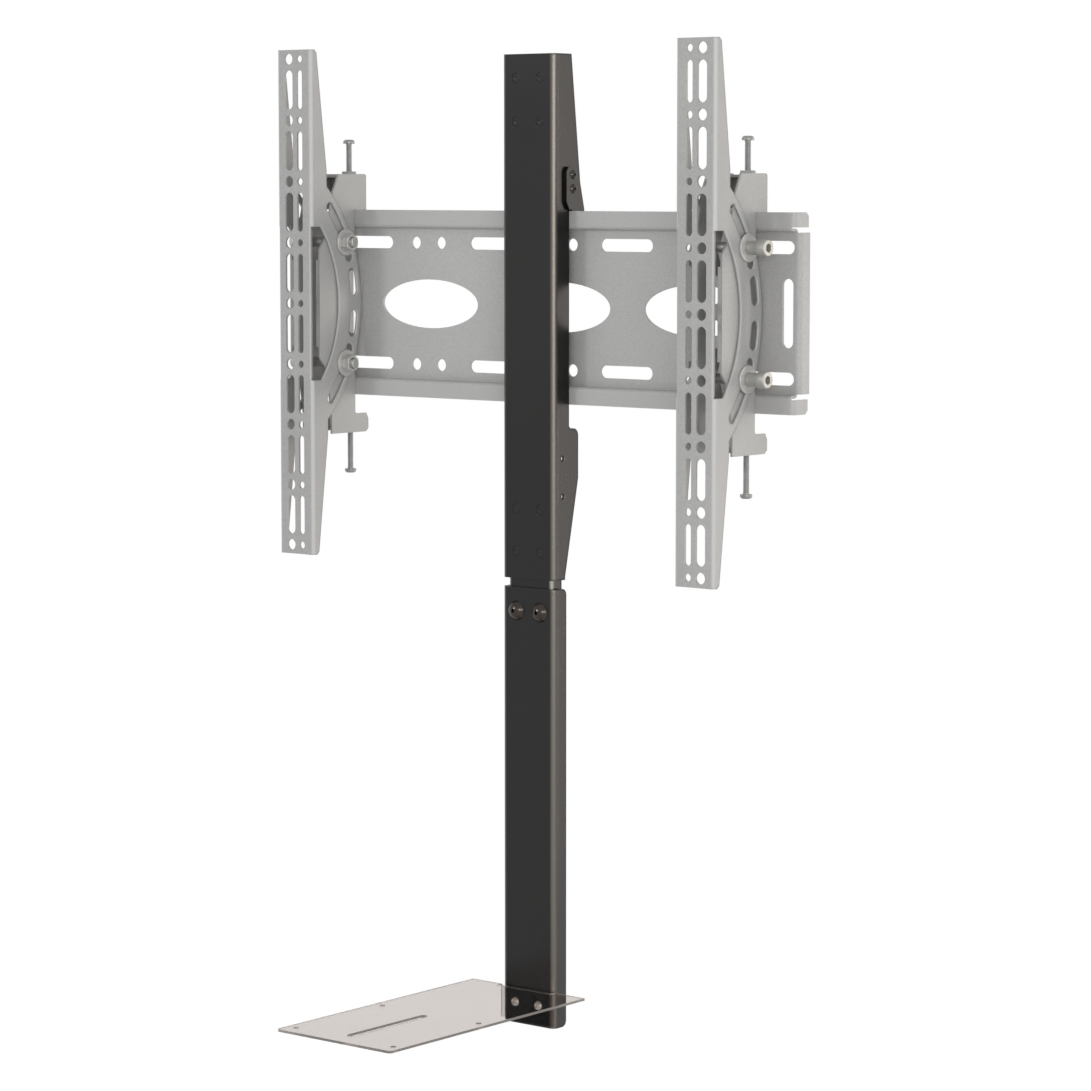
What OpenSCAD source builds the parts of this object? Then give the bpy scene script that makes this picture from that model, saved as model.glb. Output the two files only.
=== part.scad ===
/* Wall-hung television mount with a drop post and a small shelf under the screen.
   The wall is the plane y = 0 and the mount stands in front of it, at y < 0.
   x runs to the right along the wall and z runs up. z = 0 is the plate's middle. */

/* [Wall plate] */
// Length of the wall plate along the wall
plate_w = 470; // [460:1:520]
// Height of the wall plate over both rail lips
plate_h = 153.6; // [150:0.2:158]
// Distance from the wall to the front of the plate's web
web_front = 12.5; // [11:0.5:14]
// How far the rail lips stand in front of the web
rail_proud = 7.5; // [6:0.5:9]
// Height of each rail lip
lip_h = 12.4; // [11:0.2:14]
// Thickness of the plate's sheet steel
plate_t = 2; // [1.6:0.1:2.5]
// How far the lip returns reach back at the left rail ends
return_d = 10; // [7:0.5:11]
// How far the lip returns reach back at the right rail ends
stop_d = 18; // [12:0.5:18.5]

/* [Plate openings] */
// Length of each oval opening
oval_w = 103; // [80:1:110]
// Height of each oval opening
oval_h = 40; // [30:1:50]
// Distance between neighbouring oval openings
oval_pitch = 137; // [130:1:145]
// Distance between the upper and the lower row of wall holes
row_gap = 100; // [96:1:104]
// Length of the wall slots, end to end
slot_l = 52; // [40:1:54]
// Width of the wall slots and of the round wall holes
slot_w = 10; // [8:0.5:12]
// Distance from the middle to the inner wall slots
slot_in = 67.8; // [64:0.2:70]
// Distance from the middle to the outer wall slots
slot_out = 203.4; // [200:0.2:206]
// Distance from the middle to the outer pairs of round holes
pair_out = 138.5; // [136:0.5:140]
// Distance between the two holes of a pair
pair_gap = 27; // [24:0.5:30]
// Distance from the middle to the upright end slots
end_slot_x = 223.5; // [221:0.5:224]
// Height of the upright end slots
end_slot_h = 53; // [40:1:60]

/* [Screen arms] */
// Height of the two screen arms
arm_h = 415; // [412:1:440]
// Width of an arm over its side flanges
arm_w = 38; // [36:0.5:42]
// Thickness of the arms' sheet steel
arm_t = 2; // [1.5:0.1:2.2]
// Distance from the wall to the arms' front faces
arm_front = 75; // [74:0.5:76]
// Distance between the middles of the two arms
arm_span = 412; // [408:1:416]
// Distance from the plate's left end to the left arm's middle
left_inset = 5; // [3:0.5:12]
// Pitch of the rows of screen holes
hole_pitch = 50; // [49:0.5:51]
// Distance between an arm's two hole columns
column_gap = 12; // [11:0.5:13]
// Diameter of the large screen holes
big_hole = 9; // [8:0.5:10]
// Diameter of the small screen holes
small_hole = 6; // [5:0.5:7]
// Length of the slots between the screen holes
screen_slot = 32; // [28:1:34]
// Depth of the side flanges at the arms' ends
flange_end = 7; // [6:0.5:9]
// Depth of the side flanges beside the hook brackets
flange_mid = 18.5; // [16:0.5:20]

/* [Tilt] */
// Distance of the tilt axis in front of the arms' faces
tilt_ahead = 70; // [66:1:74]
// Radius of the tilt slots about the tilt axis
tilt_r = 121.5; // [120:0.5:123]
// Tilt each way from upright
tilt_range = 6; // [4:0.5:7]
// Height of the tilt bolts above and below the middle
bolt_z = 50; // [48:0.5:52]
// Diameter of the tilt bolts
bolt_d = 8; // [7:0.5:8]
// Diameter of the tilt bolts' washers
washer_d = 22; // [18:1:24]
// Diameter of the tilt bolts' heads
bolt_head_d = 13; // [12:0.5:14]

/* [Hook brackets] */
// Thickness of the hook brackets' sheet steel
bracket_t = 2; // [1.6:0.1:2.2]
// Height of the hook brackets above the middle
bracket_top = 106.3; // [100:0.1:108]
// Diameter of the lock screws
lock_d = 5; // [4:0.5:6]
// Length of the lock screws under the head
lock_l = 67; // [60:1:75]
// Height of the upper lock screws' heads above the middle
lock_up = 131.5; // [128:0.5:136]
// Depth of the lower lock screws' heads below the middle
lock_down = 140.5; // [136:0.5:144]

/* [Drop post] */
// Width of the post
post_w = 54; // [50:1:58]
// Distance from the wall to the post's front face
post_front = 39; // [38:0.5:41]
// How far the post hangs to the left of the plate's middle
post_shift = 11; // [6:1:16]
// Thickness of the post's sheet steel
post_t = 2.5; // [1.8:0.1:3]
// Height of the upper channel's top end above the middle
upper_top = 200.5; // [196:0.5:210]
// Depth of the upper channel's lower end below the middle
upper_bottom = 216.8; // [212:0.2:222]
// Gap between the two channels, where the joiner shows
joint_gap = 7.1; // [6:0.1:16]
// Length of the lower channel
lower_l = 356.1; // [300:0.1:450]
// Depth of the lower channel from its front face to its edges
lower_d = 15.5; // [15:0.5:18]
// Length of the joiner inside the two channels
joiner_l = 125; // [115:1:140]

/* [Shelf] */
// Width of the shelf
shelf_w = 117; // [112:1:150]
// Depth of the shelf in front of the post
shelf_d = 234; // [200:1:260]
// Thickness of the shelf sheet
shelf_t = 2; // [1.5:0.1:3]
// Height of the shelf's top above the post's lower end
shelf_up = 30; // [28:0.5:34]
// Pitch of the shelf's square pattern of holes
shelf_pitch = 100; // [90:1:104]
// Diameter of the shelf's corner holes
shelf_hole = 4.5; // [3:0.5:6]
// Width of the shelf's slot
shelf_slot_w = 6.5; // [5:0.5:8]
// Length of the shelf's slot
shelf_slot_l = 90; // [60:1:95]

/* [Hidden] */
$fn = 48;
// Clearances: loose between sheets, running for shafts, face for clamped washers
loose = 0.3;
running = 0.05;
face_gap = 0.1;
// Length that a cutter runs past what it cuts
over = 1;
// Steps in a bend's arc
bend_steps = 8;

// Places worked out from the wall plate
rail_front = web_front + rail_proud;
lip_top = plate_h / 2;
lip_low = lip_top - lip_h;
joggle_z = lip_low - plate_t;
plate_bend = 2;
end_flange_h = 2 * joggle_z - 2;
return_chamfer = 3;

// Places worked out from the arms: the tilt axis and the bolts
tilt_y = -(arm_front + tilt_ahead);
bolt_a = asin(bolt_z / tilt_r);
bolt_y = tilt_y + tilt_r * cos(bolt_a);
tilt_slot_w = bolt_d + 2 * loose;
tilt_slot_out = bolt_a + 16;
tilt_slot_in = bolt_a - tilt_range;
mid_slot_a = [4.8, 11.4];
bow_out = tilt_r + 9;
bow_in = tilt_r - 18.5;
window_z = 63;
arm_bend = 1;
arm_inner = arm_w / 2 - arm_t;
arm_left = left_inset - plate_w / 2;
shoulder_z = 109;
flange_corner = 2.5;
slot_rows = 4;

// Hook brackets
bracket_half = arm_inner - loose;
bracket_y = -(rail_front + 0.2);
mouth_back = -(rail_front - return_d - 1.3);
nose_back = -5.5;
ear_back = -4;
nose_z = lip_low + 4.5;
hem_y = -(arm_front - 12);
hem_z = 36;
hem_w = 4.3;
ear_z = 92.8;
bracket_low = bracket_top + 2.2;
knee_z = 57;
knee_in = 53;
knee_d = [26, 21, 19];
brow_d = [36, 28.5];
belly_z = [60, 34];
belly_d = 11.5;
tab_front = -28;
tab_back = nose_back + 1.2;
tab_t = 2;
tab_drop = 1;
lock_y = -8.2;
tie_y = lock_y - lock_d / 2 - 2.5;
tie_low = lip_top + 3;
lock_head_d = 9.6;
lock_head_h = 3.4;
weld_nut_d = 13;
weld_nut_h = 3.2;

// Tilt bolts, measured outwards from an arm's middle
washer_t = 2;
washer_x = arm_w / 2 + face_gap;
collar_d = 11;
collar_l = 9.4;
bolt_head_l = 8.5;
head_x = washer_x + washer_t + collar_l;
nut_af = 13;
nut_t = 6.5;
nut_x = washer_x + washer_t;
bolt_end = nut_x + nut_t + 2.8;
socket_af = 6;
socket_d = 5;

// Drop post
post_y = -post_front;
post_bend = 2.2;
post_rest = post_front - rail_front - 0.2;
wing_low = lip_top + loose;
wing_d = [21.7, 32.4, 33.8];
wing_z = [upper_top, 103, 90];
post_ear_z = [-96, -136];
post_ear_d = 30.5;
post_ear_r = 6;
upper_tail_d = 14;
lower_top = -(upper_bottom + joint_gap);
lower_bottom = lower_top - lower_l;
corner_r = 5;
side_holes = [[11, -119.5], [11.2, -150]];
side_hole_d = 4;
screw_pair = 24;

// Hook plates on the post's sides
hook_t = 3;
hook_front = -27;
hook_rear = [-13, -4.7];
hook_top = 111.7;
hook_heel = 84;
hook_sole = lip_top + 1;
hook_screw = [[-18.8, 105.5], [-18.8, 94.3]];
hook_screw_d = 4;
hook_head_d = 7.6;
hook_head_h = 2.4;
hook_nut_af = 7;
hook_nut_t = 3.2;

// Studs pressed into the upper channel, joiner and joint screws
stud_z = [181.5, 147.3, -160.7, -195.3];
stud_gap = 24.5;
stud_d = 5;
stud_head_d = 8;
stud_l = 12;
stud_nut_af = 8;
stud_nut_t = 4;
joiner_up = 67;
joiner_top = joiner_up - upper_bottom;
joiner_room = 1.7;
joiner_half = post_w / 2 - post_t - joiner_room;
joiner_y = post_y + post_t + loose / 2;
joiner_d = 12;
joint_drop = 19.1;
joint_z = lower_top - joint_drop;
joint_d = 8;
joint_head_d = 16;
joint_head_h = 5;
joint_nut_af = 13;
joint_nut_t = 6.5;
joint_l = 16;

// Shelf
shelf_z = lower_bottom + shelf_up;
shelf_tab_l = shelf_up - 2;
shelf_screw_z = lower_bottom + 16.4;
shelf_screw_d = 4;
shelf_head_d = 8;
shelf_head_h = 2.6;
shelf_nut_af = 7;
shelf_nut_t = 3.2;
shelf_screw_l = 10;
shelf_inset = 13;
shelf_mid_y = post_y - shelf_d + shelf_inset + shelf_pitch / 2;
shelf_corner = 3;

grey = "#b4b4b2";
dark = "#2e2d2c";
steel = "#c8c6c0";
black = "#3a3633";
smoke = "#d2cbc8";

// Vector helpers for the outlines of bent sheet
function unit(v) = v / norm(v);
function left_of(v) = [-v[1], v[0]];
function turned(v, a) = [v[0] * cos(a) - v[1] * sin(a), v[0] * sin(a) + v[1] * cos(a)];
function turn_of(u, v) = atan2(u[0] * v[1] - u[1] * v[0], u[0] * v[0] + u[1] * v[1]);

// Points of one bend, on the side s of the sheet's middle line
function bend(a, p, b, t, r, s) =
    let (u = unit(p - a), w = turn_of(u, unit(b - p)), k = sign(w), mid_r = r + t / 2)
    let (c = p - u * mid_r * tan(abs(w) / 2) + left_of(u) * k * mid_r)
    [for (i = [0 : bend_steps])
        c + turned(-left_of(u) * k * (mid_r - k * s * t / 2), w * i / bend_steps)];

// One side of the sheet from its first end to its last
function side_line(path, t, r, s) =
    let (n = len(path) - 1)
    let (u = unit(path[1] - path[0]), v = unit(path[n] - path[n - 1]))
    concat(
        [path[0] + left_of(u) * s * t / 2],
        [for (i = [1 : n - 1]) each bend(path[i - 1], path[i], path[i + 1], t, r, s)],
        [path[n] + left_of(v) * s * t / 2]);

function reversed(list) = [for (i = [len(list) - 1 : -1 : 0]) list[i]];

// Arc of points about c, from angle a0 to a1
function arc(c, r, a0, a1, n = 8) =
    [for (i = [0 : n]) c + r * [cos(a0 + (a1 - a0) * i / n), sin(a0 + (a1 - a0) * i / n)]];

// Cross-section of a sheet bent along a path of its middle line
module bent_sheet(path, t, r) {
    polygon(concat(side_line(path, t, r, 1), reversed(side_line(path, t, r, -1))));
}

// Extrude an x-y outline upwards between two heights
module upright(z0, z1) {
    translate([0, 0, z0]) linear_extrude(z1 - z0) children();
}

// Extrude a y-z outline along x between two places
module sideways(x0, x1) {
    translate([x0, 0, 0]) rotate([90, 0, 90]) linear_extrude(x1 - x0) children();
}

// U-shaped channel section, open towards the wall: front face at y0, edges at y1
module channel_section(w, y0, y1, t, r) {
    x = (w - t) / 2;
    bent_sheet([[-x, y1], [-x, y0 + t / 2], [x, y0 + t / 2], [x, y1]], t, r);
}

// Cutter through a front face, along y
module through_y(d, l) {
    rotate([90, 0, 0]) cylinder(d = d, h = 2 * l, center = true);
}

// Slot cutter through a front face: length l along x, or along z when it stands
module slot_y(l, w, depth, stands = false) {
    rotate([0, stands ? 90 : 0, 0]) {
        for (s = [-1, 1]) translate([s * (l - w) / 2, 0, 0]) through_y(w, depth);
        cube([l - w, 2 * depth, w], center = true);
    }
}

// Round bar along x between two places
module bar_x(d, x0, x1) {
    translate([x0, 0, 0]) rotate([0, 90, 0]) cylinder(d = d, h = x1 - x0);
}

// Hexagonal bar along z, measured over its flats
module hex_bar(af, h) {
    cylinder(d = af / cos(30), h = h, $fn = 6);
}

// Domed screw head on the plane z = 0, with a hexagonal socket
module button_head(d, h, socket, depth) {
    difference() {
        rotate_extrude() polygon(concat(
            [[0, 0], [d / 2, 0], [d / 2, h * 0.3]],
            arc([d / 2 - h * 0.7, h * 0.3], h * 0.7, 0, 90, 6),
            [[0, h]]));
        translate([0, 0, h - depth]) hex_bar(socket, depth + over);
    }
}

// Arc slot through the side flanges, between two angles about the tilt axis
module tilt_slot(r, w, a0, a1, half) {
    translate([0, tilt_y, 0]) {
        for (a = [a0, a1]) translate([0, r * cos(a), r * sin(a)]) bar_x(w, -half, half);
        intersection() {
            difference() {
                bar_x(2 * r + w, -half, half);
                bar_x(2 * r - w, -half - over, half + over);
            }
            sideways(-half - over, half + over) polygon([
                [0, 0],
                2 * r * [cos(a0), sin(a0)],
                2 * r * [cos(a1), sin(a1)]]);
        }
    }
}

// Wall plate: a web with two rails that stand proud, and turned-back ends
module wall_plate() {
    x = plate_w / 2;
    y_web = -(web_front - plate_t / 2);
    y_lip = -(rail_front - plate_t / 2);
    z_step = lip_low - plate_t / 2;
    straight = x - plate_bend - plate_t;
    color(grey) difference() {
        union() {
            sideways(-straight, straight) bent_sheet([
                [y_lip, lip_top], [y_lip, z_step], [y_web, z_step],
                [y_web, -z_step], [y_lip, -z_step], [y_lip, -lip_top]], plate_t, 1);
            upright(-end_flange_h / 2, end_flange_h / 2)
                channel_section(plate_w, -web_front, 0, plate_t, plate_bend);
            for (s = [-1, 1]) mirror([0, 0, s < 0 ? 1 : 0])
                upright(lip_low + plate_t / 2, lip_top) bent_sheet([
                    [plate_t / 2 - x, return_d - rail_front], [plate_t / 2 - x, y_lip],
                    [x - plate_t / 2, y_lip], [x - plate_t / 2, stop_d - rail_front]],
                    plate_t, plate_bend);
        }
        plate_openings();
        for (s = [-1, 1]) mirror([0, 0, s < 0 ? 1 : 0]) {
            sideways(-x - over, 0) return_corner(return_d - rail_front);
            sideways(0, x + over) return_corner(stop_d - rail_front);
        }
    }
}

// Cutter that takes the corner off a rail's end tab, whose edge is at y
module return_corner(y) {
    polygon([
        [y + over, lip_top + over], [y - return_chamfer, lip_top + over],
        [y - return_chamfer, lip_top], [y, lip_top - return_chamfer],
        [y + over, lip_top - return_chamfer]]);
}

// Ovals, wall slots and wall holes in the plate's web
module plate_openings() {
    deep = plate_t + over;
    translate([0, -(web_front - plate_t / 2), 0]) {
        for (i = [-1 : 1]) translate([i * oval_pitch, 0, 0]) rotate([90, 0, 0])
            linear_extrude(2 * deep, center = true) scale([oval_w / oval_h, 1]) circle(d = oval_h, $fn = 72);
        for (z = [-row_gap / 2, row_gap / 2]) {
            for (x = [-slot_out, -slot_in, slot_in, slot_out])
                translate([x, 0, z]) slot_y(slot_l, slot_w, deep);
            for (x = [-pair_out, 0, pair_out], s = [-1, 1])
                translate([x + s * pair_gap / 2, 0, z]) through_y(slot_w, deep);
        }
        for (x = [-end_slot_x, end_slot_x])
            translate([x, 0, 0]) slot_y(end_slot_h, slot_w, deep, true);
    }
}

// Place children at the left (-1) or right (1) arm, mirrored for the left one
module at_arm(s) {
    translate([s < 0 ? arm_left : arm_left + arm_span, 0, 0]) mirror([s < 0 ? 1 : 0, 0, 0]) children();
}

// Side view of an arm's flanges: tapered ends and a bow about the tilt axis
module arm_outline() {
    y = -arm_front;
    z = arm_h / 2;
    c = flange_corner;
    polygon([
        [y, -z], [y + flange_end - c, -z], [y + flange_end, c - z], [y + flange_mid, -shoulder_z],
        [y + flange_mid, shoulder_z], [y + flange_end, z - c], [y + flange_end - c, z], [y, z]]);
    intersection() {
        translate([tilt_y, 0]) circle(r = bow_out, $fn = 180);
        translate([y, -shoulder_z]) square([bow_out, 2 * shoulder_z]);
    }
}

// Screen arm: a channel with two hole columns, bowed flanges and tilt slots
module screen_arm(s) {
    half = arm_w / 2 + over;
    at_arm(s) color(grey) difference() {
        intersection() {
            upright(-arm_h / 2, arm_h / 2)
                channel_section(arm_w, -arm_front, tilt_y + bow_out + over, arm_t, arm_bend);
            sideways(-half, half) arm_outline();
        }
        arm_face_holes();
        intersection() {
            translate([0, tilt_y, 0]) bar_x(2 * bow_in, -half, half);
            for (x = [-half, arm_inner])
                translate([x, -arm_front - over, -window_z])
                    cube([half - arm_inner, bow_out, 2 * window_z]);
        }
        for (m = [-1, 1]) {
            tilt_slot(tilt_r, tilt_slot_w, m * tilt_slot_in, m * tilt_slot_out, half);
            tilt_slot(tilt_r, tilt_slot_w, m * mid_slot_a[0], m * mid_slot_a[1], half);
        }
    }
}

// Two columns of round holes with slots between them
module arm_face_holes() {
    translate([0, -arm_front, 0]) for (m = [-1, 1]) {
        d = m > 0 ? big_hole : small_hole;
        translate([m * column_gap / 2, 0, 0]) {
            for (i = [-slot_rows : slot_rows])
                translate([0, 0, i * hole_pitch]) through_y(d, arm_t + over);
            for (i = [-slot_rows : slot_rows - 1])
                translate([0, 0, (i + 0.5) * hole_pitch])
                    slot_y(screen_slot, d, arm_t + over, true);
        }
    }
}

// Side view of a hook bracket: hook above the rail, ear below it
module bracket_outline() {
    front = -arm_front;
    belly_y = bracket_y - belly_d;
    polygon([
        [front + brow_d[0], bracket_top], [front + brow_d[1], ear_z - 1.5],
        [front + knee_d[1], knee_z], [front + knee_d[2], knee_in], [hem_y, bolt_z - 5],
        [hem_y, 5 - bolt_z], [front + knee_d[2], -knee_in], [front + knee_d[1], -knee_z],
        [front + knee_d[0], -ear_z], [front + knee_d[0], -bracket_low],
        [ear_back - 3, -bracket_low], [ear_back, 3 - bracket_low],
        [ear_back, -ear_z - 4.7], [ear_back - 2.5, -ear_z],
        [bracket_y + 1.5, -ear_z], [bracket_y, 1.5 - ear_z], [bracket_y, -belly_z[0]],
        [belly_y, -belly_z[1]], [belly_y, belly_z[1]], [bracket_y, belly_z[0]],
        [bracket_y, lip_top], [mouth_back, lip_top], [mouth_back, nose_z],
        [nose_back - 2, nose_z], [nose_back, nose_z + 4],
        [nose_back, bracket_top - 1.5], [nose_back - 1.5, bracket_top]]);
}

// Hook bracket: two side plates with hems, tied by two tabs and by a web above the rail
module hook_bracket(s) {
    inner = bracket_half - bracket_t;
    at_arm(s) color(grey) difference() {
        union() {
            for (m = [0, 1]) mirror([m, 0, 0]) {
                sideways(inner, bracket_half) bracket_outline();
                upright(-hem_z, hem_z) bent_sheet([
                    [bracket_half - bracket_t / 2, hem_y + 8],
                    [bracket_half - bracket_t / 2, hem_y + bracket_t / 2],
                    [bracket_half - hem_w, hem_y + bracket_t / 2]], bracket_t, 0.5);
            }
            for (z = [bracket_top - tab_drop - tab_t, tab_drop - bracket_low])
                translate([-inner - over, tab_front, z])
                    cube([2 * inner + 2 * over, tab_back - tab_front, tab_t]);
            translate([-inner - over, tie_y, tie_low])
                cube([2 * inner + 2 * over, tab_t, bracket_top - tab_drop - tie_low]);
        }
        for (m = [-1, 1])
            translate([0, bolt_y, m * bolt_z]) bar_x(bolt_d + 2 * running, -arm_w, arm_w);
        translate([0, lock_y, -bracket_low - over])
            cylinder(d = lock_d + 2 * running, h = bracket_top + bracket_low + 2 * over);
    }
}

// Threaded nuts welded on top of the two tabs
module weld_nuts(s) {
    at_arm(s) color(grey) for (z = [bracket_top - tab_drop, tab_drop + tab_t - bracket_low])
        translate([0, lock_y, z]) difference() {
            cylinder(d = weld_nut_d, h = weld_nut_h);
            translate([0, 0, -over]) cylinder(d = lock_d + 2 * running, h = weld_nut_h + 2 * over);
        }
}

// Lock screw: m = 1 hangs from above the bracket, m = -1 stands below it
module lock_screw(s, m) {
    z = m > 0 ? lock_up : lock_down;
    tip = 0.6;
    at_arm(s) color(steel) mirror([0, 0, m < 0 ? 1 : 0]) translate([0, lock_y, z]) {
        translate([0, 0, -lock_l]) {
            cylinder(d1 = lock_d - 2 * tip, d2 = lock_d, h = tip);
            translate([0, 0, tip]) cylinder(d = lock_d, h = lock_l - tip);
        }
        button_head(lock_head_d, lock_head_h, 3, 1.6);
    }
}

// Large washers outside both flanges of an arm
module tilt_washers(s) {
    at_arm(s) color(steel) for (m = [-1, 1], x = [washer_x, -washer_x - washer_t])
        translate([0, bolt_y, m * bolt_z]) difference() {
            bar_x(washer_d, x, x + washer_t);
            bar_x(bolt_d + 2 * running, x - over, x + washer_t + over);
        }
}

// Round collars under the tilt bolts' heads
module tilt_collars(s) {
    x = washer_x + washer_t;
    at_arm(s) color(steel) for (m = [-1, 1]) translate([0, bolt_y, m * bolt_z]) difference() {
        bar_x(collar_d, x, x + collar_l);
        bar_x(bolt_d + 2 * running, x - over, x + collar_l + over);
    }
}

// Hexagonal nuts on the tilt bolts' inner ends
module tilt_nuts(s) {
    at_arm(s) color(steel) for (m = [-1, 1]) translate([0, bolt_y, m * bolt_z]) difference() {
        translate([-nut_x - nut_t, 0, 0]) rotate([0, 90, 0]) hex_bar(nut_af, nut_t);
        bar_x(bolt_d + 2 * running, -nut_x - nut_t - over, -nut_x + over);
    }
}

// Tilt bolt with a round socket head, its head outwards
module tilt_bolt(s, m) {
    chamfer = 0.8;
    at_arm(s) color(steel) translate([0, bolt_y, m * bolt_z]) difference() {
        union() {
            bar_x(bolt_d, -bolt_end, head_x + over);
            bar_x(bolt_head_d, head_x, head_x + bolt_head_l - chamfer);
            translate([head_x + bolt_head_l - chamfer, 0, 0]) rotate([0, 90, 0])
                cylinder(d1 = bolt_head_d, d2 = bolt_head_d - 2 * chamfer, h = chamfer);
        }
        translate([head_x + bolt_head_l - socket_d, 0, 0]) rotate([0, 90, 0])
            hex_bar(socket_af, socket_d + over);
    }
}

// Place children on the post's middle plane
module at_post() {
    translate([-post_shift, 0, 0]) children();
}

// Side view of the upper channel: wings above the rail, ears below the plate
module upper_outline() {
    y = post_y;
    ear_y = y + post_ear_d;
    polygon(concat(
        [[y, upper_top], [y, -upper_bottom], [y + upper_tail_d, -upper_bottom],
         [y + upper_tail_d, 2.5 - upper_bottom], [ear_y, post_ear_z[1]]],
        arc([ear_y - post_ear_r, post_ear_z[0] - post_ear_r], post_ear_r, 0, 90),
        [[y + post_rest + 2, post_ear_z[0]], [y + post_rest, post_ear_z[0] + 2],
         [y + post_rest, wing_low], [y + wing_d[2], wing_low], [y + wing_d[2], wing_z[2]],
         [y + wing_d[1], wing_z[1]], [y + wing_d[0], wing_z[0]]]));
}

// Upper channel of the post, hung on the rails by its hook plates
module post_upper_channel() {
    half = post_w / 2 + over;
    at_post() color(dark) difference() {
        intersection() {
            upright(-upper_bottom, upper_top)
                channel_section(post_w, post_y, post_y + wing_d[2] + over, post_t, post_bend);
            sideways(-half, half) upper_outline();
        }
        for (x = [-stud_gap / 2, stud_gap / 2], z = stud_z)
            translate([x, post_y, z]) through_y(stud_head_d + 2 * face_gap, post_t + over);
        for (h = side_holes) translate([0, post_y + h[0], h[1]]) bar_x(side_hole_d, -half, half);
        for (h = hook_screw)
            translate([0, h[0], h[1]]) bar_x(hook_screw_d + 2 * running, -half, half);
    }
}

// Joiner: a channel nested inside both channels of the post
module post_joiner() {
    at_post() color(dark) difference() {
        upright(joiner_top - joiner_l, joiner_top)
            channel_section(2 * joiner_half, joiner_y, joiner_y + joiner_d, post_t, 1);
        for (x = [-stud_gap / 2, stud_gap / 2], z = [stud_z[2], stud_z[3]])
            translate([x, joiner_y, z]) through_y(stud_d + 2 * loose, post_t + over);
        for (x = [-screw_pair / 2, screw_pair / 2])
            translate([x, joiner_y, joint_z]) through_y(joint_d + 2 * running, post_t + over);
    }
}

// Side view of the lower channel with rounded rear corners
module lower_outline() {
    y = post_y + lower_d - corner_r;
    polygon(concat(
        [[post_y, lower_top], [post_y, lower_bottom]],
        arc([y, lower_bottom + corner_r], corner_r, -90, 0),
        arc([y, lower_top - corner_r], corner_r, 0, 90)));
}

// Lower channel of the post
module post_lower_channel() {
    half = post_w / 2 + over;
    at_post() color(dark) difference() {
        intersection() {
            upright(lower_bottom, lower_top)
                channel_section(post_w, post_y, post_y + lower_d + over, post_t, post_bend);
            sideways(-half, half) lower_outline();
        }
        for (x = [-screw_pair / 2, screw_pair / 2]) {
            translate([x, post_y, joint_z]) through_y(joint_d + 2 * running, post_t + over);
            translate([x, post_y, shelf_screw_z]) through_y(shelf_screw_d + 2 * running, post_t + over);
        }
    }
}

// Side view of a post hook: it rests on the rail lip and reaches behind it
module post_hook_outline() {
    polygon([
        [hook_front, hook_top - 3.5], [hook_front, hook_heel], [hook_front + 3.5, hook_sole],
        [bracket_y, hook_sole], [bracket_y, lip_top], [mouth_back, lip_top], [mouth_back, nose_z],
        [hook_rear[1] - 1.5, nose_z], [hook_rear[1], nose_z + 1.5], [hook_rear[1], lip_top + 1.5],
        [hook_rear[0], hook_top], [hook_front + 2.5, hook_top]]);
}

// Hook plate on the left (-1) or right (1) side of the post
module post_hook(s) {
    at_post() color(dark) mirror([s < 0 ? 1 : 0, 0, 0]) difference() {
        sideways(post_w / 2, post_w / 2 + hook_t) post_hook_outline();
        for (h = hook_screw)
            translate([0, h[0], h[1]]) bar_x(hook_screw_d + 2 * running, 0, post_w);
    }
}

// Screws that hold the hook plates to the post
module post_hook_screws() {
    x = post_w / 2 + hook_t;
    inner = post_w / 2 - post_t - hook_nut_t - 1;
    at_post() color(black) for (m = [0, 1]) mirror([m, 0, 0]) for (h = hook_screw)
        translate([0, h[0], h[1]]) {
            bar_x(hook_screw_d, inner, x + 0.5);
            translate([x, 0, 0]) rotate([0, 90, 0]) button_head(hook_head_d, hook_head_h, 2.5, 1.4);
        }
}

// Nuts of the hook screws, inside the post
module post_hook_nuts() {
    x = post_w / 2 - post_t - hook_nut_t;
    at_post() color(steel) for (m = [0, 1]) mirror([m, 0, 0]) for (h = hook_screw)
        translate([x, h[0], h[1]]) difference() {
            rotate([0, 90, 0]) rotate([0, 0, 30]) hex_bar(hook_nut_af, hook_nut_t);
            bar_x(hook_screw_d + 2 * running, -over, hook_nut_t + over);
        }
}

// Threaded studs pressed flush into the upper channel's face
module post_studs() {
    at_post() color(dark) for (x = [-stud_gap / 2, stud_gap / 2], z = stud_z)
        translate([x, post_y, z]) rotate([-90, 0, 0]) {
            cylinder(d = stud_head_d, h = post_t);
            cylinder(d = stud_d, h = stud_l);
        }
}

// Nuts that clamp the joiner on the lower studs
module joiner_nuts() {
    at_post() color(steel) for (x = [-stud_gap / 2, stud_gap / 2], z = [stud_z[2], stud_z[3]])
        translate([x, joiner_y + post_t, z]) rotate([-90, 0, 0]) difference() {
            hex_bar(stud_nut_af, stud_nut_t);
            translate([0, 0, -over]) cylinder(d = stud_d + 2 * running, h = stud_nut_t + 2 * over);
        }
}

// Dark round-head screws that clamp the lower channel to the joiner
module joint_screws() {
    at_post() color(black) for (x = [-screw_pair / 2, screw_pair / 2])
        translate([x, post_y, joint_z]) {
            rotate([-90, 0, 0]) translate([0, 0, -0.5]) cylinder(d = joint_d, h = joint_l + 0.5);
            rotate([90, 0, 0]) button_head(joint_head_d, joint_head_h, 5, 2.8);
        }
}

// Nuts of the joint screws, inside the joiner
module joint_nuts() {
    at_post() color(steel) for (x = [-screw_pair / 2, screw_pair / 2])
        translate([x, joiner_y + post_t, joint_z]) rotate([-90, 0, 0]) difference() {
            hex_bar(joint_nut_af, joint_nut_t);
            translate([0, 0, -over]) cylinder(d = joint_d + 2 * running, h = joint_nut_t + 2 * over);
        }
}

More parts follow.
